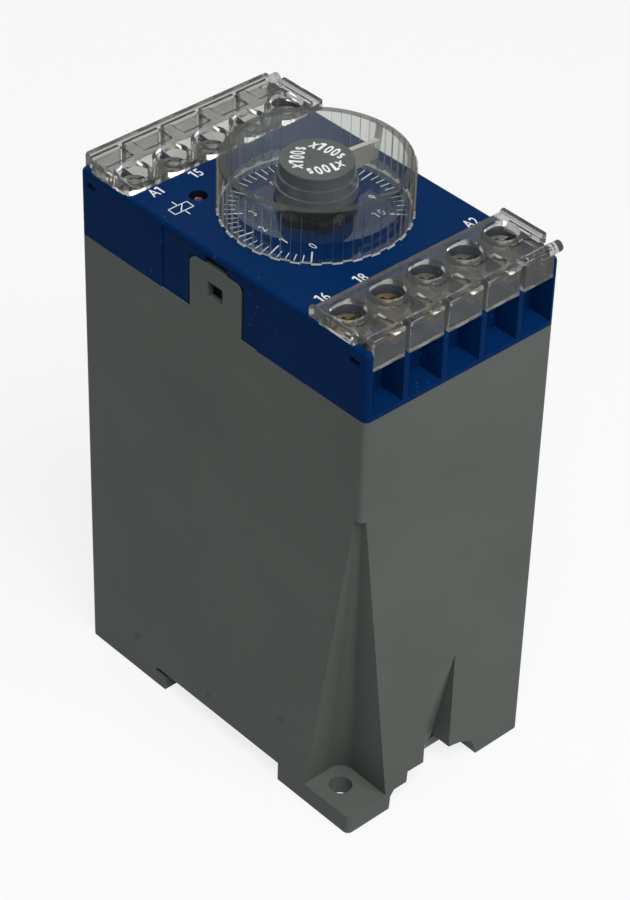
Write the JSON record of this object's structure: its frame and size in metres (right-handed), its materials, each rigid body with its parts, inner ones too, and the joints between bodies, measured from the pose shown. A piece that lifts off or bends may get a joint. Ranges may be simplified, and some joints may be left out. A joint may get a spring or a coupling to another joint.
{
  "type": "timer relay",
  "caption": "Timer relay for a 35 mm rail: deep grey case, blue front with a clear setting dial and indicator lamp, clear covers over two terminal rows",
  "frame": {"origin": "centre of the back of the case, on the plane that faces the mounting wall", "axes": "+X along the rail (left to right seen from the front), +Y up the wall, +Z out of the wall towards the front"},
  "size_m": [0.0461, 0.075, 0.1207],
  "materials": {
    "board_link": "plated pins in a black strip",
    "case": "matt grey moulded plastic",
    "catch_spring": "spring wire",
    "clamp_plates": "plated steel",
    "contact_strips": "plated brass",
    "dial_cap": "satin blue-grey plastic",
    "dial_knob": "clear moulded plastic",
    "drive_transistor": "black moulded package",
    "circuit_board": "green laminate",
    "front_cover": "satin blue moulded plastic",
    "indicator_lamp": "dark red diffused lens",
    "lamp_legs": "tinned",
    "potentiometer_body": "black plastic",
    "potentiometer_nut": "nickel plated",
    "potentiometer_shaft": "black plastic",
    "rail_catch": "light grey moulded plastic",
    "rectifier_diodes": "black bodies on tinned leads",
    "relay_armature": "plated steel",
    "relay_base": "black plastic",
    "relay_coil": "enamelled copper on a bobbin",
    "relay_contact_blade": "bronze spring",
    "relay_fixed_contacts": "brass posts",
    "relay_yoke": "plated steel",
    "resistors": "lacquered bodies on tinned leads",
    "smoothing_capacitor": "sleeved can",
    "terminal_covers": "clear moulded plastic, slightly smoky",
    "terminal_screws": "nickel plated steel",
    "timer_chip": "black moulded package",
    "timing_capacitor": "moulded box",
    "transformer_core": "laminated steel",
    "transformer_winding": "taped copper winding"
  },
  "bodies": {
    "root": {"board_link": "board_link", "case": "case", "catch_spring": "catch_spring", "contact_strips_lower": "contact_strips", "contact_strips_upper": "contact_strips", "drive_transistor": "drive_transistor", "front_board": "circuit_board", "front_cover": "front_cover", "indicator_lamp": "indicator_lamp", "lamp_legs": "lamp_legs", "potentiometer_body": "potentiometer_body", "potentiometer_nut": "potentiometer_nut", "rectifier_diodes": "rectifier_diodes", "relay_base": "relay_base", "relay_coil": "relay_coil", "relay_fixed_contacts": "relay_fixed_contacts", "relay_yoke": "relay_yoke", "resistors": "resistors", "side_board": "circuit_board", "smoothing_capacitor": "smoothing_capacitor", "timer_chip": "timer_chip", "timing_capacitor": "timing_capacitor", "transformer_core": "transformer_core", "transformer_winding": "transformer_winding"},
    "dial": {"dial_knob": "dial_knob", "dial_cap": "dial_cap", "potentiometer_shaft": "potentiometer_shaft"},
    "rail_catch": {"rail_catch": "rail_catch"},
    "terminal_cover_lower": {"terminal_cover_lower": "terminal_covers"},
    "terminal_cover_upper": {"terminal_cover_upper": "terminal_covers"},
    "relay_armature": {"relay_armature": "relay_armature", "relay_contact_blade": "relay_contact_blade"},
    "clamp_lower_1": {"clamp_plate_lower_1": "clamp_plates"},
    "screw_lower_1": {"terminal_screw_lower_1": "terminal_screws"},
    "clamp_lower_2": {"clamp_plate_lower_2": "clamp_plates"},
    "screw_lower_2": {"terminal_screw_lower_2": "terminal_screws"},
    "clamp_lower_3": {"clamp_plate_lower_3": "clamp_plates"},
    "screw_lower_3": {"terminal_screw_lower_3": "terminal_screws"},
    "clamp_lower_4": {"clamp_plate_lower_4": "clamp_plates"},
    "screw_lower_4": {"terminal_screw_lower_4": "terminal_screws"},
    "clamp_lower_5": {"clamp_plate_lower_5": "clamp_plates"},
    "screw_lower_5": {"terminal_screw_lower_5": "terminal_screws"},
    "clamp_upper_1": {"clamp_plate_upper_1": "clamp_plates"},
    "screw_upper_1": {"terminal_screw_upper_1": "terminal_screws"},
    "clamp_upper_2": {"clamp_plate_upper_2": "clamp_plates"},
    "screw_upper_2": {"terminal_screw_upper_2": "terminal_screws"},
    "clamp_upper_3": {"clamp_plate_upper_3": "clamp_plates"},
    "screw_upper_3": {"terminal_screw_upper_3": "terminal_screws"},
    "clamp_upper_4": {"clamp_plate_upper_4": "clamp_plates"},
    "screw_upper_4": {"terminal_screw_upper_4": "terminal_screws"},
    "clamp_upper_5": {"clamp_plate_upper_5": "clamp_plates"},
    "screw_upper_5": {"terminal_screw_upper_5": "terminal_screws"}
  },
  "joints": [
    {"name": "dial", "type": "hinge", "parent": "root", "child": "dial", "pos_m": [0, 0, 0.11], "axis": [0, 0, 1], "range_deg": [-48, 222]},
    {"name": "rail_catch", "type": "slide", "parent": "root", "child": "rail_catch", "axis": [0, -1, 0], "range_m": [0, 0.003], "stiffness_N_per_m": 1500, "springref_m": -0.002, "deforming": ["catch_spring"]},
    {"name": "terminal_cover_lower", "type": "slide", "parent": "root", "child": "terminal_cover_lower", "axis": [0, 0, 1], "range_m": [0, 0.012]},
    {"name": "terminal_cover_upper", "type": "slide", "parent": "root", "child": "terminal_cover_upper", "axis": [0, 0, 1], "range_m": [0, 0.012]},
    {"name": "relay_armature", "type": "hinge", "parent": "root", "child": "relay_armature", "pos_m": [0.0079, 0.0122, 0.058], "axis": [0, 0, 1], "range_deg": [0, 4.6], "stiffness_Nm_per_rad": 0.02, "springref_deg": -8.59},
    {"name": "clamp_lower_1", "type": "slide", "parent": "root", "child": "clamp_lower_1", "axis": [0, 0, 1], "range_m": [-0.0024, 0]},
    {"name": "screw_lower_1", "type": "hinge", "parent": "clamp_lower_1", "child": "screw_lower_1", "pos_m": [-0.018, -0.0277, 0.1085], "axis": [0, 0, 1], "range_deg": [-1440, 0]},
    {"name": "clamp_lower_2", "type": "slide", "parent": "root", "child": "clamp_lower_2", "axis": [0, 0, 1], "range_m": [-0.0024, 0]},
    {"name": "screw_lower_2", "type": "hinge", "parent": "clamp_lower_2", "child": "screw_lower_2", "pos_m": [-0.009, -0.0277, 0.1085], "axis": [0, 0, 1], "range_deg": [-1440, 0]},
    {"name": "clamp_lower_3", "type": "slide", "parent": "root", "child": "clamp_lower_3", "axis": [0, 0, 1], "range_m": [-0.0024, 0]},
    {"name": "screw_lower_3", "type": "hinge", "parent": "clamp_lower_3", "child": "screw_lower_3", "pos_m": [0, -0.0277, 0.1085], "axis": [0, 0, 1], "range_deg": [-1440, 0]},
    {"name": "clamp_lower_4", "type": "slide", "parent": "root", "child": "clamp_lower_4", "axis": [0, 0, 1], "range_m": [-0.0024, 0]},
    {"name": "screw_lower_4", "type": "hinge", "parent": "clamp_lower_4", "child": "screw_lower_4", "pos_m": [0.009, -0.0277, 0.1085], "axis": [0, 0, 1], "range_deg": [-1440, 0]},
    {"name": "clamp_lower_5", "type": "slide", "parent": "root", "child": "clamp_lower_5", "axis": [0, 0, 1], "range_m": [-0.0024, 0]},
    {"name": "screw_lower_5", "type": "hinge", "parent": "clamp_lower_5", "child": "screw_lower_5", "pos_m": [0.018, -0.0277, 0.1085], "axis": [0, 0, 1], "range_deg": [-1440, 0]},
    {"name": "clamp_upper_1", "type": "slide", "parent": "root", "child": "clamp_upper_1", "axis": [0, 0, 1], "range_m": [-0.0024, 0]},
    {"name": "screw_upper_1", "type": "hinge", "parent": "clamp_upper_1", "child": "screw_upper_1", "pos_m": [-0.018, 0.0277, 0.1085], "axis": [0, 0, 1], "range_deg": [-1440, 0]},
    {"name": "clamp_upper_2", "type": "slide", "parent": "root", "child": "clamp_upper_2", "axis": [0, 0, 1], "range_m": [-0.0024, 0]},
    {"name": "screw_upper_2", "type": "hinge", "parent": "clamp_upper_2", "child": "screw_upper_2", "pos_m": [-0.009, 0.0277, 0.1085], "axis": [0, 0, 1], "range_deg": [-1440, 0]},
    {"name": "clamp_upper_3", "type": "slide", "parent": "root", "child": "clamp_upper_3", "axis": [0, 0, 1], "range_m": [-0.0024, 0]},
    {"name": "screw_upper_3", "type": "hinge", "parent": "clamp_upper_3", "child": "screw_upper_3", "pos_m": [0, 0.0277, 0.1085], "axis": [0, 0, 1], "range_deg": [-1440, 0]},
    {"name": "clamp_upper_4", "type": "slide", "parent": "root", "child": "clamp_upper_4", "axis": [0, 0, 1], "range_m": [-0.0024, 0]},
    {"name": "screw_upper_4", "type": "hinge", "parent": "clamp_upper_4", "child": "screw_upper_4", "pos_m": [0.009, 0.0277, 0.1085], "axis": [0, 0, 1], "range_deg": [-1440, 0]},
    {"name": "clamp_upper_5", "type": "slide", "parent": "root", "child": "clamp_upper_5", "axis": [0, 0, 1], "range_m": [-0.0024, 0]},
    {"name": "screw_upper_5", "type": "hinge", "parent": "clamp_upper_5", "child": "screw_upper_5", "pos_m": [0.018, 0.0277, 0.1085], "axis": [0, 0, 1], "range_deg": [-1440, 0]}
  ],
  "couplings": [
    {"joint": "screw_lower_1", "follows": "clamp_lower_1", "rad_per_m": 10472},
    {"joint": "screw_lower_2", "follows": "clamp_lower_2", "rad_per_m": 10472},
    {"joint": "screw_lower_3", "follows": "clamp_lower_3", "rad_per_m": 10472},
    {"joint": "screw_lower_4", "follows": "clamp_lower_4", "rad_per_m": 10472},
    {"joint": "screw_lower_5", "follows": "clamp_lower_5", "rad_per_m": 10472},
    {"joint": "screw_upper_1", "follows": "clamp_upper_1", "rad_per_m": 10472},
    {"joint": "screw_upper_2", "follows": "clamp_upper_2", "rad_per_m": 10472},
    {"joint": "screw_upper_3", "follows": "clamp_upper_3", "rad_per_m": 10472},
    {"joint": "screw_upper_4", "follows": "clamp_upper_4", "rad_per_m": 10472},
    {"joint": "screw_upper_5", "follows": "clamp_upper_5", "rad_per_m": 10472}
  ]
}
